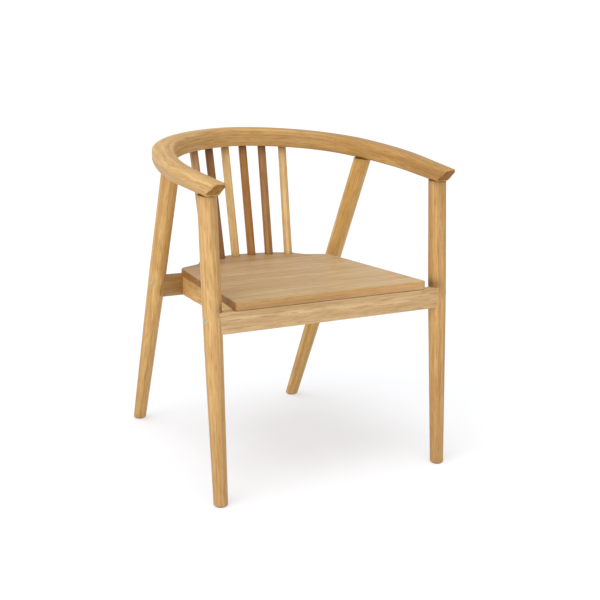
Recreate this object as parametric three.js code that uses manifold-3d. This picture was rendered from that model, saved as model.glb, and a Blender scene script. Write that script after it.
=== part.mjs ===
// Wooden armchair: a horseshoe rail carries the arms and the back, on four turned legs, with six round
// spindles, a seat of five glued boards and a bolted frame of four rails under it.
// Millimetres, +Z up. The sitter faces -Y, so left and right are those of someone who looks at the front.
// The origin is on the floor, under the middle of the chair.
import * as THREE from "three";
import { mergeVertices } from "three/addons/utils/BufferGeometryUtils.js";
import Module from "manifold-3d";

const wasm = await Module();
wasm.setup();

// ---- Driving dimensions ----
const GAP = 0.3; // clearance between two pieces that touch

const SEAT = { top: 445, thickness: 20, frontY: -305, frontHalf: 243.5, ease: 2.5, boards: 5 };
const SEAT_ARC = { y: -66, radius: 240, endX: 126 }; // the curved rear edge, behind the spindles
const SEAT_SHOULDER = { x: 160, y: 97 }; // past the arc the edge runs nearly straight out to the rear corner
const SEAT_REAR_CORNER = { x: 205, y: 78 };
const SEAT_ROUNDING = 11; // how far the rounding of a corner reaches along the edges

const FRONT_LEG = { x: 283.7, y: -315, leanX: 0.0085, leanY: 0.0715, foot: 15.7, belly: 20.8, top: 20.5 };
const REAR_LEG = { x: 228, y: 314, leanX: 0.04, leanY: -0.4435, foot: 15.6, belly: 20.6, top: 20.8 };
const LEG_BELLY = { z: 400, ease: 45 }; // a leg is thickest at the rails, where its taper eases out
const LEG_TENON = { radius: 11, length: 24, root: 12 };

const ARM_TIP_Y = -326;
const ARM_TIP_BOTTOM_Y = -285; // the end of an arm is sawn back to this under the tip
const RAIL_PLAN = [ // centre line of the right half of the horseshoe, from arm tip to the middle of the back
  [284, -335],
  [293, -215],
  [295, -120],
  [279, -20],
  [244.5, 73],
  [179.5, 147.5],
  [93, 195],
  [0, 213.5],
];
const RAIL_RISE = { z: 684.5, slope: 0.084, curve: 3.6e-5 }; // height of the centre line, rising to the back
const RAIL_HALF_WIDTH = { front: 16.5, bend: 25.5, back: 23 };
const RAIL_HALF_HEIGHT = { front: 17.5, bend: 20.9, back: 22.5 };
const RAIL_OUTER_ROUND = { front: 6, bend: 17, back: 10 }; // the lower outer edge, softest at the bends
const RAIL_ROUND = { top: 9, inner: 5, steps: 3 };
const BEND_Y = 40;
const BACK_Y = 213.5;
const RAIL_RINGS = 72;
const SPLICE_X = 236; // the arms are joined to the back rail here, just behind the rear legs

const SPINDLES = 6;
const BROWN_SPINDLES = [2, 4, 5];
const SPINDLE_PITCH = { seat: 44.8, rail: 49 };
const SPINDLE_RADIUS = { seat: 10.5, rail: 10.1 };
const SPINDLE_INSET = 19; // from the seat's rear edge
const SPINDLE_TENON = { radius: 6.5, seat: 14, rail: 18, root: 8 };

const FRAME_TOP = SEAT.top - SEAT.thickness - GAP;
const FRONT_RAIL = { face: -304, bottom: 378, top: FRAME_TOP, end: 280 };
const REAR_RAIL = { face: 113, bottom: 369.5, top: 420, end: 239 };
const RAIL_THICKNESS = 22;
const SIDE_RAIL = { frontX: 203, rearX: 174, tenon: 10, shoulder: 12 };

const BLOCK = { leg: 52, height: 34 };
const SCREW = { shank: 2.2, head: 4.2, headLength: 2.5, tip: 438, lead: 5 };
const BOLT = { shank: 3, head: 5.2, headLength: 6, length: 72, seatDepth: 13, rise: 8.4 };
const HEX_SOCKET = { radius: 2.6, depth: 3 };
const NUT = { radius: 5, length: 15, fromHead: 58, recess: 3 };
const PLUG = { radius: 6, length: 5.5, proud: 0.3 };
const GLIDE = { radius: 12, thickness: 2, pin: 1.3, pinTop: 14 };
const DOWEL = { radius: 5, length: 50, offset: 9 };

const OUTSIDE = 450; // longer than any piece is thick: reach of the blocks that only cut

// ---- Materials ----
const wood = (color, roughness) => new THREE.MeshStandardMaterial({ color, roughness, metalness: 0 });
const MATERIALS = {
  rail: wood(0xd2a26a, 0.5),
  leg: wood(0xdcab6e, 0.5),
  lightSpindle: wood(0xe0b680, 0.5),
  brownSpindle: wood(0xb98a5d, 0.5),
  seat: wood(0xc9a97c, 0.55),
  frame: wood(0xc8a272, 0.55),
  block: wood(0xbf9a68, 0.65),
  plug: wood(0xb5a98c, 0.6),
  dowel: wood(0xd9bf94, 0.6),
  steel: new THREE.MeshStandardMaterial({ color: 0xb4b7ba, roughness: 0.35, metalness: 1 }),
  glide: new THREE.MeshStandardMaterial({ color: 0x2e2a26, roughness: 0.7, metalness: 0 }),
};

// ---- Solids ----
function solidOf(geometry) {
  const bare = geometry.clone();
  bare.deleteAttribute("normal");
  bare.deleteAttribute("uv");
  const merged = mergeVertices(bare, 1e-4);
  const mesh = new wasm.Mesh({
    numProp: 3,
    vertProperties: new Float32Array(merged.attributes.position.array),
    triVerts: new Uint32Array(merged.index.array),
  });
  return new wasm.Manifold(mesh);
}

function geometryOf(solid) {
  const { vertProperties, triVerts } = solid.getMesh();
  const geometry = new THREE.BufferGeometry();
  geometry.setAttribute("position", new THREE.BufferAttribute(vertProperties, 3));
  geometry.setIndex(new THREE.BufferAttribute(triVerts, 1));
  geometry.computeVertexNormals();
  return geometry;
}

function box(xs, ys, zs) {
  const geometry = new THREE.BoxGeometry(xs[1] - xs[0], ys[1] - ys[0], zs[1] - zs[0]);
  geometry.translate((xs[0] + xs[1]) / 2, (ys[0] + ys[1]) / 2, (zs[0] + zs[1]) / 2);
  return solidOf(geometry);
}

// Turns and moves a geometry made along +Y from the origin so that it runs from a point along a direction.
function alongDirection(geometry, start, direction) {
  const turn = new THREE.Quaternion().setFromUnitVectors(new THREE.Vector3(0, 1, 0), direction);
  geometry.applyQuaternion(turn);
  geometry.translate(start.x, start.y, start.z);
  return solidOf(geometry);
}

function rod(start, end, radius, sides = 16) {
  const direction = end.clone().sub(start);
  const length = direction.length();
  const geometry = new THREE.CylinderGeometry(radius, radius, length, sides);
  geometry.translate(0, length / 2, 0);
  return alongDirection(geometry, start, direction.normalize());
}

const shifted = (point, direction, distance) => point.clone().addScaledVector(direction, distance);
const atHeight = (point, z) => point.clone().setZ(z);

// Everything near the chair's pieces that lies beyond a plane.
function beyond(point, normal, width = OUTSIDE) {
  const geometry = new THREE.BoxGeometry(width, OUTSIDE, OUTSIDE);
  geometry.translate(0, OUTSIDE / 2, 0);
  return alongDirection(geometry, point, normal);
}

// A prism over an outline in the floor plane, given in either direction.
function uprightPrism(outline, bottom, top) {
  const points = outline.map(([x, y]) => new THREE.Vector2(x, y));
  if (THREE.ShapeUtils.isClockWise(points)) points.reverse();
  const settings = { depth: top - bottom, bevelEnabled: false };
  const geometry = new THREE.ExtrudeGeometry(new THREE.Shape(points), settings);
  geometry.translate(0, 0, bottom);
  return solidOf(geometry);
}

// ---- Horseshoe rail ----
const plan = new THREE.CatmullRomCurve3([
  ...RAIL_PLAN.map(([x, y]) => new THREE.Vector3(-x, y, 0)),
  ...RAIL_PLAN.slice(0, -1).reverse().map(([x, y]) => new THREE.Vector3(x, y, 0)),
]);

// A measure of the section that changes evenly from the arm tips to the bends, and from there to the back.
function alongRail({ front, bend, back }, y) {
  if (y < BEND_Y) return THREE.MathUtils.mapLinear(y, ARM_TIP_Y, BEND_Y, front, bend);
  return THREE.MathUtils.mapLinear(y, BEND_Y, BACK_Y, bend, back);
}

function railHeight(y) {
  const back = y - FRONT_LEG.y;
  return RAIL_RISE.z + RAIL_RISE.slope * back + RAIL_RISE.curve * back * back;
}

const railUnderside = (y) => railHeight(y) - alongRail(RAIL_HALF_HEIGHT, y);

// Where the rail runs at a share of its length: centre, direction in plan, way out of the U, and section.
function railStation(share) {
  const centre = plan.getPointAt(share);
  const along = plan.getTangentAt(share);
  centre.z = railHeight(centre.y);
  return {
    centre,
    along,
    outward: new THREE.Vector3(-along.y, along.x, 0),
    halfWidth: alongRail(RAIL_HALF_WIDTH, centre.y),
    halfHeight: alongRail(RAIL_HALF_HEIGHT, centre.y),
    outerRound: alongRail(RAIL_OUTER_ROUND, centre.y),
  };
}

// The share of the rail's length where its right half, followed from the back, gets as wide as x.
function shareAtX(x) {
  let [low, high] = [0.5, 0.8];
  for (let step = 0; step < 40; step++) {
    const middle = (low + high) / 2;
    if (plan.getPointAt(middle).x > x) high = middle;
    else low = middle;
  }
  return low;
}

// The section's outline, as distances out of the U and up: a rectangle with round corners.
function sectionPoints({ halfWidth, halfHeight, outerRound }) {
  const { top, inner, steps } = RAIL_ROUND;
  const corners = [
    [1, 1, top],
    [-1, 1, top],
    [-1, -1, inner],
    [1, -1, outerRound],
  ];
  return corners.flatMap(([sideways, upward, radius], quarter) =>
    Array.from({ length: steps + 1 }, (_, step) => {
      const angle = ((quarter + step / steps) * Math.PI) / 2;
      return [
        sideways * (halfWidth - radius) + radius * Math.cos(angle),
        upward * (halfHeight - radius) + radius * Math.sin(angle),
      ];
    }),
  );
}

function sweptRail() {
  const vertices = [];
  const triangles = [];
  const ring = 4 * (RAIL_ROUND.steps + 1);
  for (let i = 0; i <= RAIL_RINGS; i++) {
    const station = railStation(i / RAIL_RINGS);
    const { centre, outward } = station;
    for (const [out, up] of sectionPoints(station)) {
      vertices.push(centre.x + outward.x * out, centre.y + outward.y * out, centre.z + up);
    }
  }
  for (let i = 0; i < RAIL_RINGS; i++) {
    for (let k = 0; k < ring; k++) {
      const a = i * ring + k;
      const b = i * ring + ((k + 1) % ring);
      triangles.push(a, b, a + ring, b, b + ring, a + ring);
    }
  }
  const last = RAIL_RINGS * ring;
  for (let k = 1; k < ring - 1; k++) {
    triangles.push(0, k + 1, k, last, last + k, last + k + 1);
  }
  const geometry = new THREE.BufferGeometry();
  geometry.setAttribute("position", new THREE.Float32BufferAttribute(vertices, 3));
  geometry.setIndex(triangles);
  return solidOf(geometry);
}

// The slanted saw cut across both arm ends: the tip on top reaches further forward than the underside.
function armEndCut() {
  const top = railHeight(ARM_TIP_Y) + RAIL_HALF_HEIGHT.front;
  const drop = 2 * RAIL_HALF_HEIGHT.front;
  const normal = new THREE.Vector3(0, -drop, ARM_TIP_Y - ARM_TIP_BOTTOM_Y).normalize();
  return beyond(new THREE.Vector3(0, ARM_TIP_Y, top), normal, 3 * OUTSIDE);
}

// ---- Legs ----
function legAxis(leg, side) {
  const foot = new THREE.Vector3(side * leg.x, leg.y, 0);
  const lean = new THREE.Vector3(side * leg.leanX, leg.leanY, 1);
  return { at: (z) => shifted(foot, lean, z), direction: lean.clone().normalize(), stretch: lean.length() };
}

// The point where a leg's axis meets the underside of the horseshoe rail, and the plane of that underside.
function legTop(leg, side) {
  const axis = legAxis(leg, side);
  let point = axis.at(RAIL_RISE.z);
  for (let step = 0; step < 8; step++) point = axis.at(railUnderside(point.y));
  const slope = railUnderside(point.y + 1) - railUnderside(point.y);
  return { axis, point, normal: new THREE.Vector3(0, -slope, 1).normalize() };
}

// The turned blank of a leg, longer than the leg at both ends.
function legBlank(leg, axis, topZ) {
  const extra = 30;
  const easeStart = LEG_BELLY.z - LEG_BELLY.ease;
  const stations = [
    [-extra, leg.foot],
    [0, leg.foot],
    [easeStart, THREE.MathUtils.mapLinear(easeStart, 0, LEG_BELLY.z, leg.foot, leg.belly)],
    [LEG_BELLY.z, leg.belly - 0.15],
    [LEG_BELLY.z + LEG_BELLY.ease, leg.belly],
    [topZ + extra, leg.top],
  ];
  const profile = stations.map(([z, radius]) => new THREE.Vector2(radius, (z + extra) * axis.stretch));
  const end = profile.at(-1).y;
  const closed = [new THREE.Vector2(0, 0), ...profile, new THREE.Vector2(0, end)];
  return alongDirection(new THREE.LatheGeometry(closed, 28), axis.at(-extra), axis.direction);
}

function legSolid(leg, side) {
  const { axis, point, normal } = legTop(leg, side);
  const foot = axis.at(GLIDE.thickness + GAP);
  const tenonStart = shifted(point, axis.direction, -LEG_TENON.root);
  const tenonEnd = shifted(point, axis.direction, LEG_TENON.length);
  return legBlank(leg, axis, point.z)
    .subtract(beyond(shifted(point, normal, -1.5 * GAP), normal))
    .add(rod(tenonStart, tenonEnd, LEG_TENON.radius, 20))
    .subtract(beyond(foot, new THREE.Vector3(0, 0, -1)))
    .subtract(rod(atHeight(foot, -1), atHeight(foot, GLIDE.pinTop + GAP), GLIDE.pin + GAP, 12));
}

function legSocket(leg, side) {
  const { axis, point } = legTop(leg, side);
  const start = shifted(point, axis.direction, -LEG_TENON.root);
  const end = shifted(point, axis.direction, LEG_TENON.length + 2 * GAP);
  return rod(start, end, LEG_TENON.radius + GAP, 20);
}

// A nail-on glide: a disc under the foot with its pin up the leg.
function glideSolid(leg, side) {
  const foot = legAxis(leg, side).at(GLIDE.thickness + GAP);
  const disc = rod(atHeight(foot, 0), atHeight(foot, GLIDE.thickness), GLIDE.radius, 24);
  return disc.add(rod(atHeight(foot, 1), atHeight(foot, GLIDE.pinTop), GLIDE.pin, 12));
}

// ---- Frame rails under the seat ----
function crossRail({ face, bottom, top, end }, grow = 0) {
  const depth = [face - grow, face + RAIL_THICKNESS + grow];
  return box([-end - grow, end + grow], depth, [bottom - grow, top + grow]);
}

const frontInside = FRONT_RAIL.face + RAIL_THICKNESS;

// The middle of a side rail in plan at a depth y.
const sideRailX = (y) =>
  THREE.MathUtils.mapLinear(y, frontInside, REAR_RAIL.face, SIDE_RAIL.frontX, SIDE_RAIL.rearX);

// A side rail between the front and rear rails, with a stub tenon at each end. Its underside runs down from
// the front rail's to the rear rail's.
function sideRail(side, grow = 0) {
  const half = RAIL_THICKNESS / 2;
  const reach = SIDE_RAIL.tenon + grow;
  const outline = (from, to, width) => [
    [side * (sideRailX(from) - width), from],
    [side * (sideRailX(to) - width), to],
    [side * (sideRailX(to) + width), to],
    [side * (sideRailX(from) + width), from],
  ];
  const body = outline(frontInside + GAP, REAR_RAIL.face - GAP, half);
  const tenon = outline(frontInside - reach, REAR_RAIL.face + reach, half / 2 + grow);
  const tenonBottom = FRONT_RAIL.bottom + SIDE_RAIL.shoulder - grow;
  const tenonTop = FRAME_TOP - SIDE_RAIL.shoulder + grow;
  const middle = new THREE.Vector3(
    side * SIDE_RAIL.frontX,
    (frontInside + REAR_RAIL.face) / 2,
    (FRONT_RAIL.bottom + REAR_RAIL.bottom) / 2,
  );
  const slope = (REAR_RAIL.bottom - FRONT_RAIL.bottom) / (REAR_RAIL.face - frontInside);
  return uprightPrism(body, REAR_RAIL.bottom, FRAME_TOP)
    .subtract(beyond(middle, new THREE.Vector3(0, slope, -1).normalize()))
    .add(uprightPrism(tenon, tenonBottom, tenonTop));
}

// ---- Leg bolts: each pulls a leg onto the end of a cross rail, under a wooden plug ----
// Points on the bolt's line are counted from the leg's skin inwards.
function boltLine(leg, rail, side) {
  const y = rail.face + RAIL_THICKNESS / 2;
  const z = (rail.bottom + rail.top) / 2 + BOLT.rise;
  const axis = legAxis(leg, side).at(z);
  const offset = (y - axis.y) / Math.hypot(1, leg.leanY);
  const skin = Math.abs(axis.x) + Math.sqrt(leg.belly ** 2 - offset ** 2);
  const headStart = BOLT.seatDepth - BOLT.headLength;
  const at = (depth) => new THREE.Vector3(side * (skin - depth), y, z);
  return { at, headStart, shankEnd: headStart + BOLT.length };
}

function boltSolid({ at, headStart, shankEnd }) {
  return rod(at(headStart), at(BOLT.seatDepth), BOLT.head, 18)
    .add(rod(at(BOLT.seatDepth - 1), at(shankEnd), BOLT.shank, 14))
    .subtract(rod(at(headStart - 1), at(headStart + HEX_SOCKET.depth), HEX_SOCKET.radius, 6));
}

const shankHole = ({ at, shankEnd }) => rod(at(0), at(shankEnd + 2), BOLT.shank + GAP, 14);

function boltHoles(line) {
  const counterbore = rod(line.at(-PLUG.radius), line.at(BOLT.seatDepth + GAP), PLUG.radius + GAP, 20);
  return counterbore.add(shankHole(line));
}

// The barrel nut lies across the bolt, in a hole bored from the cross rail's inner face.
function acrossBolt({ at, headStart }, rail, from, to, radius) {
  const centre = at(headStart + NUT.fromHead);
  const inner = rail.face + RAIL_THICKNESS;
  return rod(centre.clone().setY(inner - from), centre.clone().setY(inner - to), radius, 18);
}

function nutSolid(line, rail) {
  const end = NUT.recess + NUT.length;
  return acrossBolt(line, rail, NUT.recess, end, NUT.radius).subtract(shankHole(line));
}

const nutHole = (line, rail) =>
  acrossBolt(line, rail, -1, NUT.recess + NUT.length + GAP, NUT.radius + GAP);

// The plug's outer end follows the curve of the leg and stands a little proud of it.
function plugSolid(line, leg, side) {
  const { axis, point } = legTop(leg, side);
  const [foot, belly, top] = [leg.foot, leg.belly, leg.top].map((radius) => radius + PLUG.proud);
  return rod(line.at(PLUG.length), line.at(-PLUG.radius), PLUG.radius, 20)
    .intersect(legBlank({ ...leg, foot, belly, top }, axis, point.z));
}

// ---- Corner blocks and the screws that hold the seat ----
function blockOutline(side, wall, inward) {
  const innerX = (y) => side * (sideRailX(y) - RAIL_THICKNESS / 2 - GAP);
  const start = wall + inward * GAP;
  const end = wall + inward * BLOCK.leg;
  return [
    [innerX(start), start],
    [innerX(end), end],
    [innerX(start) - side * BLOCK.leg, start],
  ];
}

function blockCentre(outline) {
  const mean = (i) => outline.reduce((sum, point) => sum + point[i], 0) / outline.length;
  return new THREE.Vector3(mean(0), mean(1), FRAME_TOP - BLOCK.height);
}

function screwSolid(centre) {
  const head = shifted(centre, new THREE.Vector3(0, 0, -1), GAP);
  const headBottom = atHeight(head, head.z - SCREW.headLength);
  const shank = rod(atHeight(head, head.z - 1), atHeight(centre, SCREW.tip), SCREW.shank, 12);
  return shank.add(rod(headBottom, head, SCREW.head, 16));
}

function screwHole(centre) {
  const start = atHeight(centre, centre.z - SCREW.lead);
  return rod(start, atHeight(centre, SCREW.tip + GAP), SCREW.shank + GAP, 12);
}

// ---- Seat ----
function seatPanel() {
  const { frontY, frontHalf } = SEAT;
  const { x: cornerX, y: cornerY } = SEAT_REAR_CORNER;
  const { x: shoulderX, y: shoulderY } = SEAT_SHOULDER;
  const taper = (frontHalf - cornerX) / (cornerY - frontY);
  const fall = (shoulderY - cornerY) / (cornerX - shoulderX);
  const arcX = SEAT_ARC.endX;
  const arcRise = Math.sqrt(SEAT_ARC.radius ** 2 - arcX ** 2);
  const arcY = SEAT_ARC.y + arcRise;
  const arcEnd = Math.atan2(arcRise, arcX);
  const reach = 0.62 * (shoulderX - arcX); // of the handles that bend the arc into the shoulder
  const half = new THREE.Path();
  half.moveTo(0, frontY);
  half.lineTo(frontHalf - SEAT_ROUNDING, frontY);
  half.quadraticCurveTo(frontHalf, frontY, frontHalf - taper * SEAT_ROUNDING, frontY + SEAT_ROUNDING);
  half.lineTo(cornerX + taper * SEAT_ROUNDING, cornerY - SEAT_ROUNDING);
  half.quadraticCurveTo(cornerX, cornerY, cornerX - SEAT_ROUNDING, cornerY + fall * SEAT_ROUNDING);
  half.lineTo(shoulderX, shoulderY);
  half.bezierCurveTo(
    shoulderX - reach,
    shoulderY + fall * reach,
    arcX + reach / 2,
    arcY - ((reach / 2) * arcX) / arcRise,
    arcX,
    arcY,
  );
  half.absarc(0, SEAT_ARC.y, SEAT_ARC.radius, arcEnd, Math.PI / 2, false);
  const right = half.getPoints(8);
  const left = right.slice(1, -1).reverse().map(({ x, y }) => new THREE.Vector2(-x, y));
  const shape = new THREE.Shape([...right, ...left]);
  const geometry = new THREE.ExtrudeGeometry(shape, {
    depth: SEAT.thickness - 2 * SEAT.ease,
    bevelThickness: SEAT.ease,
    bevelSize: SEAT.ease,
    bevelOffset: -SEAT.ease,
    bevelSegments: 2,
  });
  geometry.translate(0, 0, SEAT.top - SEAT.thickness + SEAT.ease);
  return solidOf(geometry);
}

// ---- Spindles ----
function spindleLine(index) {
  const place = index - (SPINDLES - 1) / 2;
  const seatX = place * SPINDLE_PITCH.seat;
  const circle = SEAT_ARC.radius - SPINDLE_INSET;
  const bottom = new THREE.Vector3(seatX, SEAT_ARC.y + Math.sqrt(circle ** 2 - seatX ** 2), SEAT.top);
  const railX = Math.abs(place) * SPINDLE_PITCH.rail;
  const { y } = plan.getPointAt(shareAtX(railX));
  const top = new THREE.Vector3(Math.sign(place) * railX, y, railUnderside(y));
  return { bottom, top, direction: top.clone().sub(bottom).normalize() };
}

function spindleTenon(point, outward, length, grow = 0) {
  const start = shifted(point, outward, -SPINDLE_TENON.root);
  return rod(start, shifted(point, outward, length + grow), SPINDLE_TENON.radius + grow, 14);
}

function spindleSolid({ bottom, top, direction }) {
  const extra = 12;
  const length = top.distanceTo(bottom);
  const { seat, rail } = SPINDLE_RADIUS;
  const geometry = new THREE.CylinderGeometry(rail, seat, length + 2 * extra, 18);
  geometry.translate(0, length / 2, 0);
  const up = new THREE.Vector3(0, 0, 1);
  const down = new THREE.Vector3(0, 0, -1);
  return alongDirection(geometry, bottom, direction)
    .subtract(beyond(shifted(top, down, 2 * GAP), up))
    .subtract(beyond(shifted(bottom, up, GAP), down))
    .add(spindleTenon(bottom, direction.clone().negate(), SPINDLE_TENON.seat))
    .add(spindleTenon(top, direction, SPINDLE_TENON.rail));
}

// ---- Assembly ----
const chair = new THREE.Group();

function addPiece(name, solid, material) {
  const mesh = new THREE.Mesh(geometryOf(solid), material);
  mesh.name = name;
  chair.add(mesh);
}

const SIDES = [
  ["left", -1],
  ["right", 1],
];
const ENDS = [
  { end: "front", leg: FRONT_LEG, rail: FRONT_RAIL, wall: frontInside, inward: 1 },
  { end: "rear", leg: REAR_LEG, rail: REAR_RAIL, wall: REAR_RAIL.face, inward: -1 },
];
const spindles = Array.from({ length: SPINDLES }, (_, index) => spindleLine(index));

// Horseshoe rail: bored for legs, spindles and dowels, and sawn into two arms and the back rail.
let horseshoe = sweptRail().subtract(armEndCut());
for (const { leg } of ENDS) {
  for (const [, side] of SIDES) {
    horseshoe = horseshoe.subtract(legSocket(leg, side));
  }
}
for (const { top, direction } of spindles) {
  horseshoe = horseshoe.subtract(spindleTenon(top, direction, SPINDLE_TENON.rail, GAP));
}
const spliceShare = shareAtX(SPLICE_X);
for (const [sideName, side] of SIDES) {
  const { centre, along } = railStation(side > 0 ? spliceShare : 1 - spliceShare);
  for (const [level, up] of [["lower", -1], ["upper", 1]]) {
    const middle = atHeight(centre, centre.z + up * DOWEL.offset);
    const ends = (length) => [-length / 2, length / 2].map((distance) => shifted(middle, along, distance));
    const dowel = rod(...ends(DOWEL.length), DOWEL.radius, 14);
    horseshoe = horseshoe.subtract(rod(...ends(DOWEL.length + 2 * GAP), DOWEL.radius + GAP, 14));
    addPiece(`splice_dowel_${sideName}_${level}`, dowel, MATERIALS.dowel);
  }
  const sawCut = new THREE.BoxGeometry(100, GAP, 100);
  horseshoe = horseshoe.subtract(alongDirection(sawCut, centre, along));
}
const middleX = (solid) => {
  const { min, max } = solid.boundingBox();
  return min[0] + max[0];
};
const railPieces = horseshoe.decompose().sort((a, b) => middleX(a) - middleX(b));
for (const [index, name] of ["left_arm", "back_rail", "right_arm"].entries()) {
  addPiece(name, railPieces[index], MATERIALS.rail);
}

// Spindles, numbered from the left.
for (const [index, line] of spindles.entries()) {
  const number = index + 1;
  const material = BROWN_SPINDLES.includes(number) ? MATERIALS.brownSpindle : MATERIALS.lightSpindle;
  addPiece(`spindle_${number}`, spindleSolid(line), material);
}

// Legs with their glides, bolts, nuts and plugs, and the cross rails between them.
for (const { end, leg, rail } of ENDS) {
  let cross = crossRail(rail);
  for (const [sideName, side] of SIDES) {
    const name = `${end}_${sideName}`;
    const line = boltLine(leg, rail, side);
    const holes = boltHoles(line);
    const mortised = legSolid(leg, side).subtract(crossRail(rail, GAP)).subtract(holes);
    addPiece(`${name}_leg`, mortised, MATERIALS.leg);
    addPiece(`${name}_glide`, glideSolid(leg, side), MATERIALS.glide);
    addPiece(`${name}_plug`, plugSolid(line, leg, side), MATERIALS.plug);
    addPiece(`${name}_bolt`, boltSolid(line), MATERIALS.steel);
    addPiece(`${name}_barrel_nut`, nutSolid(line, rail), MATERIALS.steel);
    cross = cross.subtract(holes).subtract(nutHole(line, rail)).subtract(sideRail(side, GAP));
  }
  addPiece(`${end}_rail`, cross, MATERIALS.frame);
}
for (const [sideName, side] of SIDES) {
  addPiece(`${sideName}_side_rail`, sideRail(side), MATERIALS.frame);
}

// Corner blocks and screws; the seat takes the tips of the screws and the tenons of the spindles.
let seat = seatPanel();
for (const { end, wall, inward } of ENDS) {
  for (const [sideName, side] of SIDES) {
    const outline = blockOutline(side, wall, inward);
    const centre = blockCentre(outline);
    const hole = screwHole(centre);
    const block = uprightPrism(outline, FRAME_TOP - BLOCK.height, FRAME_TOP).subtract(hole);
    addPiece(`${end}_${sideName}_corner_block`, block, MATERIALS.block);
    addPiece(`${end}_${sideName}_seat_screw`, screwSolid(centre), MATERIALS.steel);
    seat = seat.subtract(hole);
  }
}
for (const { bottom, direction } of spindles) {
  seat = seat.subtract(spindleTenon(bottom, direction.clone().negate(), SPINDLE_TENON.seat, GAP));
}
const boardDepth = (SEAT_ARC.y + SEAT_ARC.radius - SEAT.frontY) / SEAT.boards;
for (let index = 0; index < SEAT.boards; index++) {
  const start = SEAT.frontY + index * boardDepth;
  const margin = (edge) => (edge === 0 || edge === SEAT.boards ? 10 : -GAP / 2);
  const depth = [start - margin(index), start + boardDepth + margin(index + 1)];
  const board = seat.intersect(box([-OUTSIDE, OUTSIDE], depth, [0, 2 * SEAT.top]));
  addPiece(`seat_board_${index + 1}`, board, MATERIALS.seat);
}

export default chair;
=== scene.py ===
"""Wooden armchair: fine shapes, wood and light around the frame. Metres, +Z up, the sitter faces -Y."""
import math

import bmesh
import bpy
import numpy as np
from mathutils import Matrix, Vector


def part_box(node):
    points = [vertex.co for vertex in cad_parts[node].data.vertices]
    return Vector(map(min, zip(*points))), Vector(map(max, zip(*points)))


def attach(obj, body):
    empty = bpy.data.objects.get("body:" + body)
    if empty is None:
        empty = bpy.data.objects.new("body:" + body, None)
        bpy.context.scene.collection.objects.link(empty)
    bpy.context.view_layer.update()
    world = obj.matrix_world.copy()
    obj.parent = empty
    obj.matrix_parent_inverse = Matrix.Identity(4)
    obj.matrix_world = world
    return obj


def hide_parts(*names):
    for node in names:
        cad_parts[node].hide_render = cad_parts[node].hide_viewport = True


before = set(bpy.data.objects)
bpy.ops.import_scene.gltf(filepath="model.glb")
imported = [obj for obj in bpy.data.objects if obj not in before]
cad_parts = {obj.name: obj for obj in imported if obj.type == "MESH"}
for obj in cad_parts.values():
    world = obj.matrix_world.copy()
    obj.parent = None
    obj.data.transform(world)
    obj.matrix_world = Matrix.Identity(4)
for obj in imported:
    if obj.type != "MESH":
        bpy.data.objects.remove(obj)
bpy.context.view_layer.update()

# ---- The horseshoe rail's driving dimensions, the same as the frame's ----
RAIL_PLAN = [  # centre line of the right half, from arm tip to the middle of the back
    (0.284, -0.335),
    (0.293, -0.215),
    (0.295, -0.120),
    (0.279, -0.020),
    (0.2445, 0.073),
    (0.1795, 0.1475),
    (0.093, 0.195),
    (0.0, 0.2135),
]
RAIL_RISE = {"from": -0.315, "z": 0.6845, "slope": 0.084, "curve": 0.036}
RAIL_TIP_Y, RAIL_BEND_Y, RAIL_BACK_Y = -0.326, 0.040, 0.2135
RAIL_TIP_BOTTOM_Y = -0.285
RAIL_HALF_WIDTH = (0.0165, 0.0255, 0.023)  # at the tips, the bends and the back
RAIL_HALF_HEIGHT = (0.0175, 0.0209, 0.0225)
RAIL_OUTER_ROUND = (0.006, 0.017, 0.010)
RAIL_TOP_ROUND, RAIL_INNER_ROUND = 0.009, 0.005
SPLICE_X = 0.236
ARM_WIDE_X = 0.28  # past the splices the rail gets wider than this

SAW_GAP = 0.00015  # between an arm and the back rail
ARM_TIP_EDGE = 0.003  # rounding of an arm's sawn end
SPLICE_EDGE = 0.0008

# ---- Legs, spindles and seat ----
LEG_TAPER_HEIGHTS = (0.355, 0.445)  # where the taper of a leg eases out and where it is thickest
LEG_SHOULDER_MIN = 0.013  # the frame's leg tenons are thinner than this, the legs thicker
LEG_SHOULDER_DEPTH = 0.075  # a leg's slanted shoulder lies within this of the tenon's top
LEG_FOOT_RING, LEG_TENON_RING = 0.0004, 0.012  # how far a leg's lowest and highest rings of points reach
LEG_EDGES = (0.0022, 0.0006)  # rounding of a leg's foot and of its shoulder under the arm
LEG_SIDES, LEG_PITCH = 72, 0.006
SPINDLE_MIN = 0.0085  # the frame's spindle tenons are thinner than this, the spindles thicker
SPINDLE_RING = 0.005
SPINDLE_EDGES = (0.0005, 0.0005)
SPINDLE_SIDES, SPINDLE_PITCH = 48, 0.008
BURIED = 0.003  # how far a spindle goes on inside the seat and the rail
SEAT_EDGE, SEAT_UNDER_EDGE = 0.0025, 0.004
SEAM = 0.00012  # half of the seam between two boards

# ---- Painted shade: where the wood is painted darker ----
LOW_SHADE_HEIGHT, LOW_SHADE = 0.35, 0.26  # painted shade: the legs get darker from this height down
SEAT_CORNER_Z, SEAT_CORNER_SHADE_REACH = 0.432, 0.014  # where the front legs pass the seat's corners, and how far the painted shade there reaches
JOINT_SHADE_REACH = 0.004  # how far the painted shade at a joint reaches along a leg or up from the seat


def bare(node):
    """The separate points of a CAD node, in metres."""
    points = np.array([v.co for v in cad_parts[node].data.vertices], float)
    return np.unique(points.round(6), axis=0)


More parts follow.
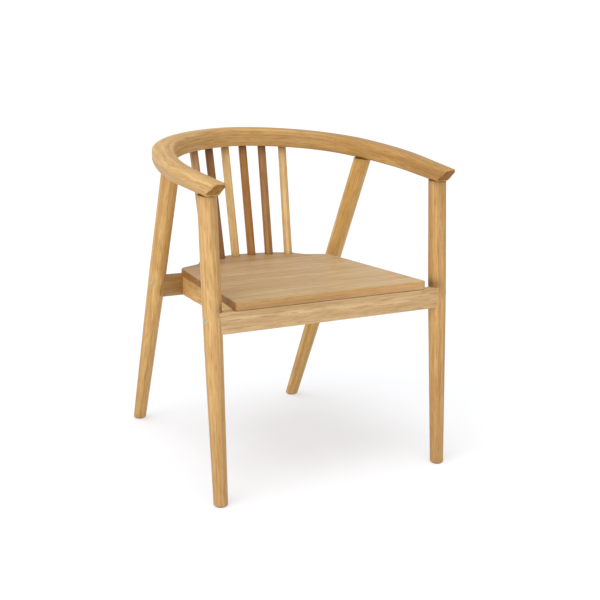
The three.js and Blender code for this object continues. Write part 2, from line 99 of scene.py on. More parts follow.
# ---- Pieces ----
def add_piece(node, points, faces, material, grain, ends, sharp, joint=None):
    """A closed piece that stands for a CAD node.

    grain holds each point's place along and across the grain. ends says how much of a face is end grain,
    from its number and its normal. The last argument is painted shade at each point: darker in the corners
    of the joints, where shade falls, and darker towards the floor."""
    name = f"{node}_skin"
    mesh = bpy.data.meshes.new(name)
    mesh.from_pydata([tuple(p) for p in points], [], [tuple(int(i) for i in f) for f in faces])
    store = mesh.attributes.new("grain", "FLOAT_VECTOR", "POINT")
    store.data.foreach_set("vector", np.asarray(grain, np.float32).ravel())
    # Painted shade at each point, for the wood shader to darken.
    if joint is not None:
        store = mesh.attributes.new("joint", "FLOAT", "POINT")
        store.data.foreach_set("value", np.asarray(joint, np.float32))
    work = bmesh.new()
    work.from_mesh(mesh)
    bmesh.ops.recalc_face_normals(work, faces=work.faces)
    work.to_mesh(mesh)
    work.free()
    shares = [ends(face.index, face.normal) for face in mesh.polygons]
    store = mesh.attributes.new("end_grain", "FLOAT", "FACE")
    store.data.foreach_set("value", shares)
    mesh.shade_smooth()
    mesh.set_sharp_from_angle(angle=math.radians(sharp))
    mesh.materials.append(material)
    piece = bpy.data.objects.new(name, mesh)
    bpy.context.scene.collection.objects.link(piece)
    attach(piece, "root")
    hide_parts(node)


def grid_faces(rows, columns):
    """Quads between closed rings of points, with a fan of triangles over both ends."""
    faces = []
    for i in range(rows - 1):
        row, above = i * columns, (i + 1) * columns
        for k in range(columns):
            after = (k + 1) % columns
            faces.append((row + k, row + after, above + after, above + k))
    first, last = rows * columns, rows * columns + 1
    for k in range(columns):
        after = (k + 1) % columns
        faces.append((first, after, k))
        faces.append((last, (rows - 1) * columns + k, (rows - 1) * columns + after))
    return faces


def closed_grid(rings):
    """The points and faces of a closed skin over rings (rows x columns x 3)."""
    rows, columns, _ = rings.shape
    points = np.concatenate([rings.reshape(-1, 3), [rings[0].mean(0)], [rings[-1].mean(0)]])
    return points, grid_faces(rows, columns)


def eased_steps(length, edge, pitch):
    """Distances from 0 to length, close together within the rounding of both ends."""
    fine = edge * (1 - np.cos(np.linspace(0, math.pi / 2, 6)))
    count = max(2, int((length - 2 * edge) / pitch))
    middle = np.linspace(edge, length - edge, count)[1:-1]
    return np.concatenate([fine, middle, length - fine[::-1]])


def edge_drop(distance, edge):
    """How far a rounded edge has fallen back at a distance from the end."""
    inside = np.clip(1 - np.asarray(distance) / edge, 0, 1)
    return edge * (1 - np.sqrt(1 - inside**2))


def add_skin(node, rings, grain, material, turn, shift, sharp, joint=None):
    """A piece over closed rings of points. Its grain is turned about its length and shifted, to vary it."""
    points, faces = closed_grid(rings)
    flat = np.concatenate([grain.reshape(-1, 3), [grain[0].mean(0)], [grain[-1].mean(0)]])
    along, across, over = flat.T
    c, s = math.cos(turn), math.sin(turn)
    turned = np.stack([along, c * across - s * over, s * across + c * over], -1)
    first_cap = (len(rings) - 1) * rings.shape[1]
    # The painted shade gets values for the two end caps too.
    if joint is not None:
        joint = np.concatenate([joint.ravel(), joint[0, :1], joint[-1, :1]])
    place = turned + np.array(shift)
    add_piece(node, points, faces, material, place, lambda i, n: float(i >= first_cap), sharp, joint)


# ---- Turned pieces: legs and spindles ----
def turned_axis(points, low_reach, high_reach):
    """The foot and direction of a turned piece, from the middles of its lowest and highest rings."""
    low = points[points[:, 2] < points[:, 2].min() + low_reach].mean(0)
    high = points[points[:, 2] > points[:, 2].max() - high_reach].mean(0)
    span = high - low
    return low, span / np.linalg.norm(span)


def fitted_plane(points):
    """The middle and the upward normal of the plane through points."""
    middle = points.mean(0)
    normal = np.linalg.svd(points - middle)[2][2]
    return middle, normal * np.sign(normal[2])


def turned_rings(foot, direction, profile, bottom, top, edges, sides, pitch):
    """Rings around an axis between two planes, which may both lie askew to it."""
    across = np.cross(direction, (0.0, 1.0, 0.0))
    across /= np.linalg.norm(across)
    other = np.cross(direction, across)
    turn = np.linspace(0, 2 * math.pi, sides, endpoint=False)
    spokes = np.cos(turn)[:, None] * across + np.sin(turn)[:, None] * other

    def meets(plane, radius):
        middle, normal = plane
        skin = foot + radius * spokes
        return (middle - skin) @ normal / (direction @ normal)

    start = meets(bottom, profile(0.0))
    end = meets(top, profile((top[0] - foot) @ direction))
    length = float((end - start).mean())
    steps = eased_steps(length, max(edges), pitch)
    along = start[None, :] + (end - start)[None, :] * (steps / length)[:, None]
    radius = profile(along)
    radius = radius - edge_drop(steps, edges[0])[:, None] - edge_drop(length - steps, edges[1])[:, None]
    rings = foot + along[..., None] * direction + radius[..., None] * spokes[None]
    grain = np.stack([along, radius * np.cos(turn), radius * np.sin(turn)], -1)
    return rings, grain


def add_leg(node, material, turn, shift):
    """A leg from the floor's glide to its shoulder under the arm, on the frame leg's axis and radii."""
    points = bare(node)
    foot, direction = turned_axis(points, LEG_FOOT_RING, LEG_TENON_RING)
    along = (points - foot) @ direction
    away = np.linalg.norm(points - foot - along[:, None] * direction, axis=1)
    near_top = points[:, 2] > points[:, 2].max() - LEG_SHOULDER_DEPTH
    shoulder = points[(away > LEG_SHOULDER_MIN) & near_top]
    top = fitted_plane(shoulder)
    heights = [0.0, *LEG_TAPER_HEIGHTS, top[0][2]]
    radii = [away[np.abs(points[:, 2] - z) < 0.010].max() for z in heights]
    radii[0] = away[points[:, 2] < points[:, 2].min() + 0.002].max()
    stations = [(z - foot[2]) / direction[2] for z in heights]

    def profile(distance):
        return np.interp(distance, stations, radii)

    bottom = (foot, np.array((0.0, 0.0, 1.0)))
    rings, grain = turned_rings(
        foot, direction, profile, bottom, top, LEG_EDGES, LEG_SIDES, LEG_PITCH
    )
    x, z = rings[..., 0], rings[..., 2]
    # Painted shade: darker just under the arm, where it shades the leg, and darker lower down towards the
    # floor.
    joint = 0.6 * np.exp((z - top[0][2]) / JOINT_SHADE_REACH) + LOW_SHADE * np.clip(1 - z / LOW_SHADE_HEIGHT, 0, 1)
    # Painted shade on the front legs' inner sides, where the seat's corners shade them.
    if foot[1] < 0:
        inward = -np.sign(foot[0]) * (x - x.mean(1, keepdims=True)) / max(radii)
        near_seat = np.exp(-(((z - SEAT_CORNER_Z) / SEAT_CORNER_SHADE_REACH) ** 2))
        joint += 0.8 * near_seat * np.clip(inward + 0.3, 0, 1)
    add_skin(node, rings, grain, material, turn, shift, sharp=60, joint=joint)


def add_spindle(node, material, turn, shift):
    """A spindle that tapers evenly and goes on a little way inside the seat and the back rail."""
    points = bare(node)
    foot, direction = turned_axis(points, SPINDLE_RING, SPINDLE_RING)
    along = (points - foot) @ direction
    away = np.linalg.norm(points - foot - along[:, None] * direction, axis=1)
    skin = away > SPINDLE_MIN
    low, high = along[skin].min(), along[skin].max()
    middle = (low + high) / 2
    radii = [away[skin & (along < middle)].max(), away[skin & (along > middle)].max()]

    def profile(distance):
        return np.interp(distance, [low, high], radii)

    up = np.array((0.0, 0.0, 1.0))
    bottom = (foot + direction * (low + radii[0] * 0.1) - up * BURIED, up)
    top = (foot + direction * high + up * BURIED, up)
    rings, grain = turned_rings(
        foot, direction, profile, bottom, top, SPINDLE_EDGES, SPINDLE_SIDES, SPINDLE_PITCH
    )
    z = rings[..., 2]
    # Painted shade: darker under the back rail, where the rail shades the spindle, and just above the seat.
    from_rail = np.clip(z[-1] - BURIED - z, 0, None)
    from_seat = np.clip(z - z[0] - BURIED, 0, None)
    joint = 0.65 * np.exp(-from_rail / 0.009) + 0.25 * np.exp(-from_rail / 0.05)
    joint += 0.8 * np.exp(-from_seat / JOINT_SHADE_REACH)
    add_skin(node, rings, grain, material, turn, shift, sharp=60, joint=joint)


# ---- Horseshoe rail ----
def smooth_line(corners, per_span=60):
    """A centripetal Catmull-Rom curve through corners, as points evenly spaced along it."""
    corners = np.array(corners, float)
    ends = np.concatenate([[2 * corners[0] - corners[1]], corners, [2 * corners[-1] - corners[-2]]])
    line = []
    for i in range(1, len(ends) - 2):
        p = ends[i - 1 : i + 3]
        knots = np.concatenate([[0], np.cumsum(np.linalg.norm(np.diff(p, axis=0), axis=1) ** 0.5)])
        for t in np.linspace(knots[1], knots[2], per_span, endpoint=False):
            a = [
                (knots[k + 1] - t) / (knots[k + 1] - knots[k]) * p[k]
                + (t - knots[k]) / (knots[k + 1] - knots[k]) * p[k + 1]
                for k in range(3)
            ]
            b = [
                (knots[k + 2] - t) / (knots[k + 2] - knots[k]) * a[k]
                + (t - knots[k]) / (knots[k + 2] - knots[k]) * a[k + 1]
                for k in range(2)
            ]
            line.append(((knots[2] - t) * b[0] + (t - knots[1]) * b[1]) / (knots[2] - knots[1]))
    line = np.array([*line, corners[-1]])
    travelled = np.concatenate([[0], np.cumsum(np.linalg.norm(np.diff(line, axis=0), axis=1))])
    even = np.linspace(0, travelled[-1], len(line))
    return np.stack([np.interp(even, travelled, line[:, i]) for i in range(2)], -1), travelled[-1]


rail_line, rail_length = smooth_line([(-x, y) for x, y in RAIL_PLAN] + RAIL_PLAN[-2::-1])
rail_ways = np.gradient(rail_line, axis=0)
rail_ways /= np.linalg.norm(rail_ways, axis=1)[:, None]
rail_shares = np.linspace(0, 1, len(rail_line))


def along_rail(measures, y):
    """A measure of the rail at a depth, from those at the tips, the bends and the back."""
    return np.interp(y, [RAIL_TIP_Y, RAIL_BEND_Y, RAIL_BACK_Y], measures)


def rail_height(y):
    """The height of the rail's centre line, which climbs towards the back."""
    back = y - RAIL_RISE["from"]
    return RAIL_RISE["z"] + RAIL_RISE["slope"] * back + RAIL_RISE["curve"] * back**2


def section_plan(steps=7, flats=4):
    """The section's points: for each, which corner it rounds, its angle, and how far along the next flat."""
    plan = []
    for quarter in range(4):
        for step in range(steps + 1):
            plan.append((quarter, (quarter + step / steps) * math.pi / 2, 0.0))
        for step in range(1, flats):
            plan.append((quarter, (quarter + 1) * math.pi / 2, step / flats))
    return plan


CORNER_SIGNS = [(1, 1), (-1, 1), (-1, -1), (1, -1)]
SECTION = section_plan()


def rail_points(shares, inset):
    """Points of the rail's skin. shares is rows x section points; inset draws the section in near an end."""
    x = np.interp(shares, rail_shares, rail_line[:, 0])
    y = np.interp(shares, rail_shares, rail_line[:, 1])
    way_x = np.interp(shares, rail_shares, rail_ways[:, 0])
    way_y = np.interp(shares, rail_shares, rail_ways[:, 1])
    half_width = along_rail(RAIL_HALF_WIDTH, y) - inset
    half_height = along_rail(RAIL_HALF_HEIGHT, y) - inset
    outer = along_rail(RAIL_OUTER_ROUND, y)
    rounds = [RAIL_TOP_ROUND + 0 * y, RAIL_TOP_ROUND + 0 * y, RAIL_INNER_ROUND + 0 * y, outer]
    out, up = np.zeros_like(y), np.zeros_like(y)

    def around(corner, k, angle):
        """Points on the rounding of a corner, at an angle."""
        sideways, upward = CORNER_SIGNS[corner]
        radius = rounds[corner][:, k]
        return (
            sideways * (half_width[:, k] - radius) + radius * math.cos(angle),
            upward * (half_height[:, k] - radius) + radius * math.sin(angle),
        )

    for k, (quarter, angle, part) in enumerate(SECTION):
        here, there = around(quarter, k, angle), around((quarter + 1) % 4, k, angle)
        out[:, k] = here[0] * (1 - part) + there[0] * part
        up[:, k] = here[1] * (1 - part) + there[1] * part
    points = np.stack([x - way_y * out, y + way_x * out, rail_height(y) + up], -1)
    return points, np.stack([shares * rail_length, out, up], -1)


def share_at_x(x):
    """The share of the rail's length where its right half, past the back, gets as wide as x."""
    right = rail_shares > 0.5
    wide = np.maximum.accumulate(rail_line[right, 0])
    behind_arm = wide < ARM_WIDE_X
    return float(np.interp(x, wide[behind_arm], rail_shares[right][behind_arm]))


def add_rail_piece(node, start, end, sawn, material, turn, shift):
    """A stretch of the rail between two shares. sawn says whether the start is the slanted end of an arm."""
    columns = len(SECTION)
    starts = np.full(columns, start)
    if sawn:
        top_z = rail_height(RAIL_TIP_Y) + RAIL_HALF_HEIGHT[0]
        normal = np.array((0.0, -2 * RAIL_HALF_HEIGHT[0], RAIL_TIP_Y - RAIL_TIP_BOTTOM_Y))
        normal /= np.linalg.norm(normal)
        # Halving finds where each line of the rail's skin meets the slanted cut.
        low, high = np.zeros(columns), np.full(columns, 0.2)
        for _ in range(30):
            middle = (low + high) / 2
            points, _ = rail_points(middle[None], 0.0)
            beyond = (points[0] - np.array((0.0, RAIL_TIP_Y, top_z))) @ normal > 0
            low, high = np.where(beyond, middle, low), np.where(beyond, high, middle)
        starts = (low + high) / 2
    length = (end - start) * rail_length
    edge = ARM_TIP_EDGE if sawn else SPLICE_EDGE
    steps = eased_steps(length, edge, 0.006)
    shares = starts[None] + (end - starts)[None] * (steps / length)[:, None]
    inset = (edge_drop(steps, edge) + 0.6 * edge_drop(length - steps, SPLICE_EDGE))[:, None]
    rings, grain = rail_points(shares, inset)
    if node == "right_arm":
        rings[..., 0] *= -1
        grain[..., 0] = rail_length - grain[..., 0]
    add_skin(node, rings, grain, material, turn, shift, sharp=50)


# ---- Seat ----
def smoothed(outline, rounds=2):
    """Cuts the corners of a closed outline, which turns its short chords into a smooth curve."""
    for _ in range(rounds):
        after = np.roll(outline, -1, axis=0)
        outline = np.stack([0.75 * outline + 0.25 * after, 0.25 * outline + 0.75 * after], 1).reshape(-1, 2)
    return outline


def seat_outline(boards, level):
    """The seat's outline in plan, from the ring of the frame's points at a height."""
    points = np.concatenate([bare(node) for node in boards])
    ring = points[np.abs(points[:, 2] - level) < 2e-4][:, :2]
    middle = np.array((0.0, -0.05))
    order = np.argsort(np.arctan2(ring[:, 1] - middle[1], ring[:, 0] - middle[0]))
    return smoothed(ring[order])


def add_seat(boards, materials, seeds):
    """The seat as one rounded panel, cut into its glued boards."""
    corners = np.array([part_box(node) for node in boards])
    low, high = corners[:, 0].min(0), corners[:, 1].max(0)
    bottom, top, ease, under = low[2], high[2], SEAT_EDGE, SEAT_UNDER_EDGE
    outline = seat_outline(boards, top - ease)
    ahead = np.roll(outline, -1, axis=0) - np.roll(outline, 1, axis=0)
    inward = np.stack([-ahead[:, 1], ahead[:, 0]], -1) / np.linalg.norm(ahead, axis=1)[:, None]
    bend = np.linspace(0, math.pi / 2, 7)
    profile = [(under * (1 - math.sin(b)), bottom + under * (1 - math.cos(b))) for b in bend]
    profile += [(ease * (1 - math.cos(b)), top - ease + ease * math.sin(b)) for b in bend]
    rings = np.array(
        [[(*spot, z) for spot in outline + inward * inset] for inset, z in profile]
    )
    points, faces = closed_grid(rings)
    panel = bmesh.new()
    verts = [panel.verts.new(p) for p in points]
    for face in faces:
        panel.faces.new([verts[i] for i in face])
    bmesh.ops.recalc_face_normals(panel, faces=panel.faces)
    for node, material, seed in zip(boards, materials, seeds):
        board = panel.copy()
        start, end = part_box(node)[0].y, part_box(node)[1].y
        for y, facing in ((start, -1), (end, 1)):
            if abs(y - low[1]) < 1e-3 or abs(y - high[1]) < 1e-3:
                continue
            geometry = board.verts[:] + board.edges[:] + board.faces[:]
            spot = (0, y - facing * SEAM, 0)
            cut = bmesh.ops.bisect_plane(
                board, geom=geometry, plane_co=spot, plane_no=(0, facing, 0), clear_outer=True, dist=1e-7
            )
            edges = [e for e in cut["geom_cut"] if isinstance(e, bmesh.types.BMEdge)]
            bmesh.ops.holes_fill(board, edges=edges, sides=0)
        bmesh.ops.remove_doubles(board, verts=board.verts, dist=1e-6)
        bmesh.ops.recalc_face_normals(board, faces=board.faces)
        board.verts.index_update()
        corners = [tuple(v.co) for v in board.verts]
        polygons = [[v.index for v in f.verts] for f in board.faces]
        grain = np.array([(x, y - start, z - top) for x, y, z in corners]) + np.array(seed)
        add_piece(node, corners, polygons, material, grain, lambda i, n: n.x**2, sharp=30)
        board.free()
    panel.free()


# ---- Frame rails, blocks and hardware: CAD nodes with eased edges ----
def ease_edges(node, width, material):
    """Rounds the edges of a frame node, which stays as it is otherwise."""
    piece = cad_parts[node]
    weld = piece.modifiers.new("weld", "WELD")
    weld.merge_threshold = 1e-5
    bevel = piece.modifiers.new("eased edges", "BEVEL")
    bevel.width = width
    bevel.segments = 3
    bevel.limit_method = "ANGLE"
    bevel.angle_limit = math.radians(40)
    piece.data.materials.clear()
    piece.data.materials.append(material)


# ---- Materials ----
class Tree:
    """Short calls to build a material's nodes."""

    def __init__(self, name):
        self.material = bpy.data.materials.new(name)
        self.material.use_nodes = True
        self.nodes = self.material.node_tree.nodes
        self.links = self.material.node_tree.links
        self.shader = self.nodes["Principled BSDF"]

    def node(self, kind, settings=(), **inputs):
        made = self.nodes.new(kind)
        for key, value in dict(settings).items():
            setattr(made, key, value)
        for key, value in inputs.items():
            self.put(made.inputs[key.replace("_", " ")], value)
        return made

    def put(self, socket, value):
        if isinstance(value, bpy.types.NodeSocket):
            self.links.new(value, socket)
        else:
            socket.default_value = value

    def math(self, operation, a, b=0.0, clamp=False):
        made = self.nodes.new("ShaderNodeMath")
        made.operation = operation
        made.use_clamp = clamp
        self.put(made.inputs[0], a)
        self.put(made.inputs[1], b)
        return made.outputs[0]

    def scaled(self, vector, scale):
        made = self.nodes.new("ShaderNodeVectorMath")
        made.operation = "MULTIPLY"
        self.put(made.inputs[0], vector)
        made.inputs[1].default_value = scale
        return made.outputs[0]

    def added(self, a, b):
        made = self.nodes.new("ShaderNodeVectorMath")
        made.operation = "ADD"
        self.put(made.inputs[0], a)
        self.put(made.inputs[1], b)
        return made.outputs[0]

    def noise(self, vector, scale, detail=3.0, roughness=0.55):
        """Noise at a scale for each axis, from 0 to 1."""
        made = self.nodes.new("ShaderNodeTexNoise")
        self.put(made.inputs["Vector"], self.scaled(vector, scale))
        made.inputs["Scale"].default_value = 1.0
        made.inputs["Detail"].default_value = detail
        made.inputs["Roughness"].default_value = roughness
        return made

    def ramp(self, factor, stops):
        made = self.nodes.new("ShaderNodeValToRGB")
        elements = made.color_ramp.elements
        while len(elements) < len(stops):
            elements.new(0.5)
        for element, (place, color) in zip(elements, stops):
            element.position = place
            element.color = (*color, 1.0) if len(color) == 3 else color
        self.put(made.inputs[0], factor)
        return made.outputs[0]

    def mix(self, factor, a, b, kind="MIX"):
        made = self.nodes.new("ShaderNodeMix")
        made.data_type = "RGBA"
        made.blend_type = kind
        self.put(made.inputs[0], factor)
        self.put(made.inputs[6], a)
        self.put(made.inputs[7], b)
        return made.outputs[2]

    def level(self, value, low, high, out_low=0.0, out_high=1.0):
        made = self.nodes.new("ShaderNodeMapRange")
        self.put(made.inputs[0], value)
        for socket, number in zip(made.inputs[1:5], (low, high, out_low, out_high)):
            socket.default_value = number
        return made.outputs[0]


def linear(red, green, blue):
    """A display colour, 0 to 255, as the shader's linear colour."""
    return tuple(((c / 255 + 0.055) / 1.055) ** 2.4 for c in (red, green, blue))


def grain_place(tree, along=None, seed=0.0):
    """Where a point lies in the wood: from the piece's own coordinates, or for a CAD node from its place."""
    if along is None:
        return tree.node("ShaderNodeAttribute", {"attribute_name": "grain"}).outputs["Vector"]
    place = tree.node("ShaderNodeNewGeometry").outputs["Position"]
    apart = tree.node("ShaderNodeSeparateXYZ", Vector=place)
    order = {"X": (0, 1, 2), "Y": (1, 0, 2)}[along]
    together = tree.node("ShaderNodeCombineXYZ")
    for socket, axis in zip(together.inputs, order):
        tree.put(socket, apart.outputs[axis])
    return tree.added(together.outputs[0], (seed, seed * 0.37, seed * 0.11))


def shades(tone, contrast):
    """The light, middle and dark of a wood around its tone."""
    return [tuple(c * k**contrast for c, k in zip(tone, factors)) for factors in LIGHTER_DARKER]


def wood(
    name,
    tone,
    along=None,
    seed=0.0,
    figure=0.45,
    streak=150.0,
    contrast=0.85,
    rough=0.46,
    upright_side_shade=False,
    fade=None,
):
    """Lacquered hardwood: broad streaks, growth lines, fibres and pores, all drawn out along the grain.

    figure is the strength of the growth lines, and streak is how many broad streaks there are to a metre.
    fade is a tint that grows between two places along X."""
    light, middle, dark = shades(tone, contrast)
    tree = Tree(name)
    place = grain_place(tree, along, seed)
    wander = tree.noise(place, (2.2, 9.0, 9.0), 2.0).outputs["Color"]
    bent = tree.added(place, tree.scaled(tree.added(wander, (-0.5, -0.5, -0.5)), (0.0, 0.010, 0.010)))

    # Streaks of lighter, darker and pinkish wood, and growth lines here and there.
    broad = tree.noise(bent, (1.6, streak, streak), 2.0, 0.5).outputs["Fac"]
    body = tree.ramp(broad, [(0.30, dark), (0.5, middle), (0.70, light)])
    hue = tree.noise(bent, (2.6, streak * 1.7, streak * 1.7), 1.0).outputs["Fac"]
    pink = tree.level(hue, 0.52, 0.66, 0.0, 0.22)
    body = tree.mix(pink, body, (middle[0] * 1.06, middle[1] * 0.90, middle[2] * 1.02, 1.0))
    field = tree.noise(bent, (0.9, 15.0, 15.0), 1.0).outputs["Fac"]
    rings = tree.math("FRACT", tree.math("MULTIPLY", field, 15.0))
    patchy = tree.level(tree.noise(place, (3.0, 14.0, 14.0), 1.0).outputs["Fac"], 0.35, 0.65)
    late = tree.math("MULTIPLY", tree.level(rings, 0.45, 1.0, 0.0, 0.55 * figure), patchy)
    body = tree.mix(late, body, (dark[0] * 0.80, dark[1] * 0.74, dark[2] * 0.66, 1.0))

    # Fibres, brown smudges and flecks, and open pores.
    fibres = tree.noise(bent, (11.0, 900.0, 900.0), 3.0, 0.6).outputs["Fac"]
    body = tree.mix(tree.level(fibres, 0.40, 0.66, 0.0, 0.24), body, (*[c * 0.72 for c in dark], 1.0))
    smudges = tree.noise(bent, (11.0, 60.0, 60.0), 2.0, 0.6).outputs["Fac"]
    body = tree.mix(tree.level(smudges, 0.48, 0.64, 0.0, 0.7 * contrast), body, (*dark, 1.0))
    flecks = tree.noise(bent, (22.0, 420.0, 420.0), 2.0, 0.6).outputs["Fac"]
    fleck_tone = (dark[0] * 0.82, dark[1] * 0.66, dark[2] * 0.50, 1.0)
    body = tree.mix(tree.level(flecks, 0.52, 0.64, 0.0, 0.75 * contrast), body, fleck_tone)
    pores = tree.noise(place, (95.0, 2300.0, 2300.0), 1.0).outputs["Fac"]
    open_pore = tree.level(pores, 0.66, 0.74)
    body = tree.mix(tree.math("MULTIPLY", open_pore, 0.5), body, (*[c * 0.35 for c in dark], 1.0))

    # End grain, painted shade at joints and down the legs, painted shade on upright sides, and the tint
    # along X.
    ends = tree.node("ShaderNodeAttribute", {"attribute_name": "end_grain"}).outputs["Fac"]
    body = tree.mix(tree.math("MULTIPLY", ends, 0.85), body, (0.50, 0.37, 0.22, 1.0), "MULTIPLY")
    # Painted shade: the stored attribute darkens the wood in the corners of joints, under the rail and down
    # the legs.
    joint = tree.node("ShaderNodeAttribute", {"attribute_name": "joint"}).outputs["Fac"]
    body = tree.mix(tree.math("MULTIPLY", joint, 1.0, clamp=True), body, (0.36, 0.28, 0.20, 1.0), "MULTIPLY")
    # Painted shade: faces that stand upright are painted darker and browner than the top.
    if upright_side_shade:
        normal = tree.node("ShaderNodeNewGeometry").outputs["Normal"]
        upright = tree.node("ShaderNodeSeparateXYZ", Vector=normal).outputs["Z"]
        slope = tree.math("SUBTRACT", 1.0, tree.math("ABSOLUTE", upright))
        body = tree.mix(slope, body, (1.02, 0.84, 0.62, 1.0), "MULTIPLY")
    if fade:
        start, end, tint = fade
        place = tree.node("ShaderNodeNewGeometry").outputs["Position"]
        across = tree.node("ShaderNodeSeparateXYZ", Vector=place).outputs["X"]
        body = tree.mix(tree.level(across, start, end), body, (*tint, 1.0), "MULTIPLY")

    # Satin lacquer that follows the fibres and sinks into the pores.
    tree.put(tree.shader.inputs["Base Color"], body)
    tree.put(tree.shader.inputs["Roughness"], tree.level(fibres, 0.3, 0.7, rough - 0.06, rough + 0.10))
    tree.put(tree.shader.inputs["Specular IOR Level"], tree.level(ends, 0.0, 1.0, 0.42, 0.08))
    relief = tree.math("SUBTRACT", tree.math("MULTIPLY", fibres, 0.35), open_pore)
    bump = tree.node("ShaderNodeBump", Strength=0.35, Distance=0.00025, Height=relief)
    tree.put(tree.shader.inputs["Normal"], bump.outputs[0])
    return tree.material


def plastic(name, color):
    """Scuffed moulded plastic."""
    tree = Tree(name)
    place = tree.node("ShaderNodeNewGeometry").outputs["Position"]
    scuffs = tree.noise(place, (420.0, 420.0, 420.0), 4.0, 0.7).outputs["Fac"]
    paler = [c * 1.9 for c in color]
    tree.put(tree.shader.inputs["Base Color"], tree.ramp(scuffs, [(0.35, color), (0.75, paler)]))
    tree.put(tree.shader.inputs["Roughness"], tree.level(scuffs, 0.3, 0.7, 0.5, 0.75))
    bump = tree.node("ShaderNodeBump", Strength=0.3, Distance=0.0001, Height=scuffs)
    tree.put(tree.shader.inputs["Normal"], bump.outputs[0])
    return tree.material


def zinc(name):
    """Zinc-plated steel, slightly cloudy."""
    tree = Tree(name)
    place = tree.node("ShaderNodeNewGeometry").outputs["Position"]
    cloud = tree.noise(place, (260.0, 260.0, 260.0), 5.0, 0.65).outputs["Fac"]
    tree.put(
        tree.shader.inputs["Base Color"],
        tree.ramp(cloud, [(0.3, (0.42, 0.43, 0.44)), (0.7, (0.66, 0.67, 0.68))]),
    )
    tree.shader.inputs["Metallic"].default_value = 1.0
    tree.put(tree.shader.inputs["Roughness"], tree.level(cloud, 0.3, 0.7, 0.28, 0.48))
    bump = tree.node("ShaderNodeBump", Strength=0.15, Distance=0.0001, Height=cloud)
    tree.put(tree.shader.inputs["Normal"], bump.outputs[0])
    return tree.material


# The light, middle and dark of any wood, against its tone.
LIGHTER_DARKER = ((1.22, 1.30, 1.46), (1.0, 1.0, 1.0), (0.76, 0.69, 0.60))

# The tone of each piece, before light and grain.
TONES = {
    "front_left_leg": linear(213, 170, 107),
    "front_right_leg": linear(200, 157, 95),
    "rear_left_leg": linear(211, 167, 99),
    "rear_right_leg": linear(215, 172, 100),
    "spindle_1": linear(196, 155, 108),
    "spindle_2": linear(153, 108, 61),
    "spindle_3": linear(235, 200, 137),
    "spindle_4": linear(175, 124, 59),
    "spindle_5": linear(171, 125, 71),
    "spindle_6": linear(232, 197, 139),
    "rail": linear(208, 168, 105),
    "front_rail": linear(211, 177, 127),
    "rear_rail": linear(167, 128, 74),
    "left_side_rail": linear(213, 169, 101),
    "right_side_rail": linear(205, 161, 98),
    "seat": linear(195, 165, 120),
    "block": linear(196, 160, 110),
    "plug": linear(190, 176, 136),
    "dowel": linear(222, 186, 134),
}

# Tints that grow between two places along X.
RAIL_FADE = (-0.02, 0.26, (0.80, 0.73, 0.58))
SEAT_FADE = (0.0, 0.2, (1.12, 1.14, 1.20))

# How the seat's boards differ from the seat's tone, from the front one to the rear one: painted shade on the
# rear boards, where the back and its spindles shade the seat, and a little random tone on the front ones.
BOARD_PAINTED_SHADE = (
    (1.0, 1.0, 0.98),
    (1.02, 1.02, 1.02),
    (0.97, 0.96, 0.95),
    (0.93, 0.90, 0.86),
    (0.82, 0.76, 0.66),
)

# ---- Assembly ----
rng = np.random.default_rng(7)


def seed():
    """Where in the wood a piece is cut from."""
    return tuple(rng.uniform(1.0, 9.0, 3))


for node in ("front_left_leg", "front_right_leg", "rear_left_leg", "rear_right_leg"):
    add_leg(node, wood(f"{node}_wood", TONES[node]), rng.uniform(0, 6), seed())

for node in sorted(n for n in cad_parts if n.startswith("spindle_")):
    add_spindle(node, wood(f"{node}_wood", TONES[node], streak=260.0), rng.uniform(0, 6), seed())

splice = share_at_x(SPLICE_X)
saw = SAW_GAP / rail_length
rail_wood = wood("rail_wood", TONES["rail"], figure=0.75, streak=120.0, fade=RAIL_FADE)
blank = (2.4, seed())  # the three pieces come from one bent blank, so the grain runs on through them
add_rail_piece("left_arm", 0.0, 1 - splice - saw, True, rail_wood, *blank)
add_rail_piece("right_arm", 0.0, 1 - splice - saw, True, rail_wood, *blank)
add_rail_piece("back_rail", 1 - splice, splice, False, rail_wood, *blank)

boards = sorted(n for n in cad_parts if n.startswith("seat_board_"))
board_woods = []
seat_figure = {"figure": 0.2, "streak": 70.0, "contrast": 0.68, "upright_side_shade": True, "fade": SEAT_FADE}
# Each board's tone, with painted shade on the rear ones.
for node, shade in zip(boards, BOARD_PAINTED_SHADE):
    tone = tuple(c * k for c, k in zip(TONES["seat"], shade))
    board_woods.append(wood(f"{node}_wood", tone, **seat_figure))
add_seat(boards, board_woods, [seed() for _ in boards])

FRAME_RAILS = {"front_rail": "X", "rear_rail": "X", "left_side_rail": "Y", "right_side_rail": "Y"}
for node, along in FRAME_RAILS.items():
    ease_edges(node, 0.0012, wood(f"{node}_wood", TONES[node], along=along, seed=rng.uniform(2, 9)))
block_wood = wood("block_wood", TONES["block"], along="X", seed=11.0, rough=0.6)
plug_wood = wood("plug_wood", TONES["plug"], along="X", seed=2.0)
dowel_wood = wood("dowel_wood", TONES["dowel"], along="X", seed=9.0, rough=0.6)
glide_plastic = plastic("glide_plastic", (0.028, 0.024, 0.020))
zinc_steel = zinc("zinc_steel")
HARDWARE = {
    "_corner_block": (0.0010, block_wood),
    "_plug": (0.0002, plug_wood),
    "_glide": (0.0004, glide_plastic),
    "_bolt": (0.0003, zinc_steel),
    "_barrel_nut": (0.0003, zinc_steel),
    "_seat_screw": (0.0002, zinc_steel),
}
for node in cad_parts:
    for ending, (width, material) in HARDWARE.items():
        if node.endswith(ending):
            ease_edges(node, width, material)
    if node.startswith("splice_dowel"):
        ease_edges(node, 0.0004, dowel_wood)

# ---- Floor, light and camera ----
FLOOR_HALF = 40.0


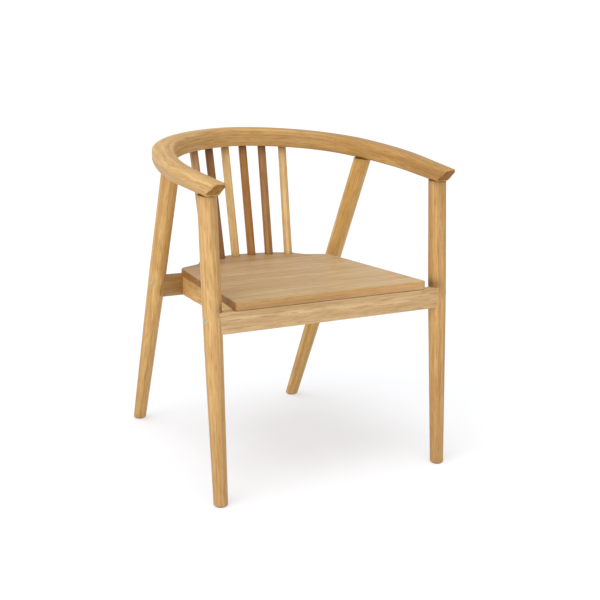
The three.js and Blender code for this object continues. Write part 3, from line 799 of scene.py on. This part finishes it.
def add_floor():
    """A wide pale floor that glows a little, so that the shadow on it stays light."""
    mesh = bpy.data.meshes.new("floor")
    h = FLOOR_HALF
    mesh.from_pydata([(-h, -h, 0), (h, -h, 0), (h, h, 0), (-h, h, 0)], [], [(0, 1, 2, 3)])
    floor = bpy.data.objects.new("floor", mesh)
    bpy.context.scene.collection.objects.link(floor)
    tree = Tree("floor_paint")
    tree.shader.inputs["Base Color"].default_value = (0.49, 0.50, 0.52, 1.0)
    tree.shader.inputs["Emission Color"].default_value = (1.0, 1.0, 1.0, 1.0)
    tree.shader.inputs["Emission Strength"].default_value = 0.48
    tree.shader.inputs["Roughness"].default_value = 0.9
    tree.shader.inputs["Specular IOR Level"].default_value = 0.1
    mesh.materials.append(tree.material)


def add_world(fill, seen):
    """Even white light all around; what the camera sees past the floor is plain white."""
    world = bpy.data.worlds.new("studio")
    world.use_nodes = True
    nodes, links = world.node_tree.nodes, world.node_tree.links
    background = nodes["Background"]
    background.inputs["Color"].default_value = (1.0, 1.0, 1.0, 1.0)
    white = nodes.new("ShaderNodeBackground")
    white.inputs["Color"].default_value = (1.0, 1.0, 1.0, 1.0)
    white.inputs["Strength"].default_value = seen
    background.inputs["Strength"].default_value = fill
    either = nodes.new("ShaderNodeMixShader")
    path = nodes.new("ShaderNodeLightPath")
    links.new(path.outputs["Is Camera Ray"], either.inputs[0])
    links.new(background.outputs[0], either.inputs[1])
    links.new(white.outputs[0], either.inputs[2])
    links.new(either.outputs[0], nodes["World Output"].inputs["Surface"])
    bpy.context.scene.world = world


def add_sun(name, strength, spread, azimuth, elevation):
    """A large soft light from afar. Azimuth 0 shines from the front, -90 from the left."""
    lamp = bpy.data.lights.new(name, "SUN")
    lamp.energy = strength
    lamp.angle = math.radians(spread)
    sun = bpy.data.objects.new(name, lamp)
    a, e = math.radians(azimuth), math.radians(elevation)
    source = Vector((math.sin(a) * math.cos(e), -math.cos(a) * math.cos(e), math.sin(e)))
    sun.rotation_euler = source.to_track_quat("Z", "Y").to_euler()
    bpy.context.scene.collection.objects.link(sun)


def add_camera(place, azimuth, elevation, roll, lens, shift):
    a, e = math.radians(azimuth), math.radians(elevation)
    back = Vector((math.sin(a) * math.cos(e), -math.cos(a) * math.cos(e), math.sin(e)))
    right = Vector((math.cos(a), math.sin(a), 0))
    up = back.cross(right)
    turn = Matrix((right, up, back)).transposed() @ Matrix.Rotation(math.radians(roll), 3, "Z")
    data = bpy.data.cameras.new("camera")
    data.lens = lens
    data.sensor_width = 36.0
    data.shift_x, data.shift_y = shift
    camera = bpy.data.objects.new("camera", data)
    camera.matrix_world = Matrix.Translation(place) @ turn.to_4x4()
    bpy.context.scene.collection.objects.link(camera)
    bpy.context.scene.camera = camera


add_floor()
add_world(fill=0.62, seen=1.05)
add_sun("overhead", 1.35, 40, -50, 72)
add_sun("from_the_left", 0.95, 50, -62, 24)
add_camera((-1.2667, -2.4449, 1.0099), -28.77, 13.35, 0.59, 69.6, (0.00246, 0.00326))
bpy.context.scene.view_settings.view_transform = "Standard"
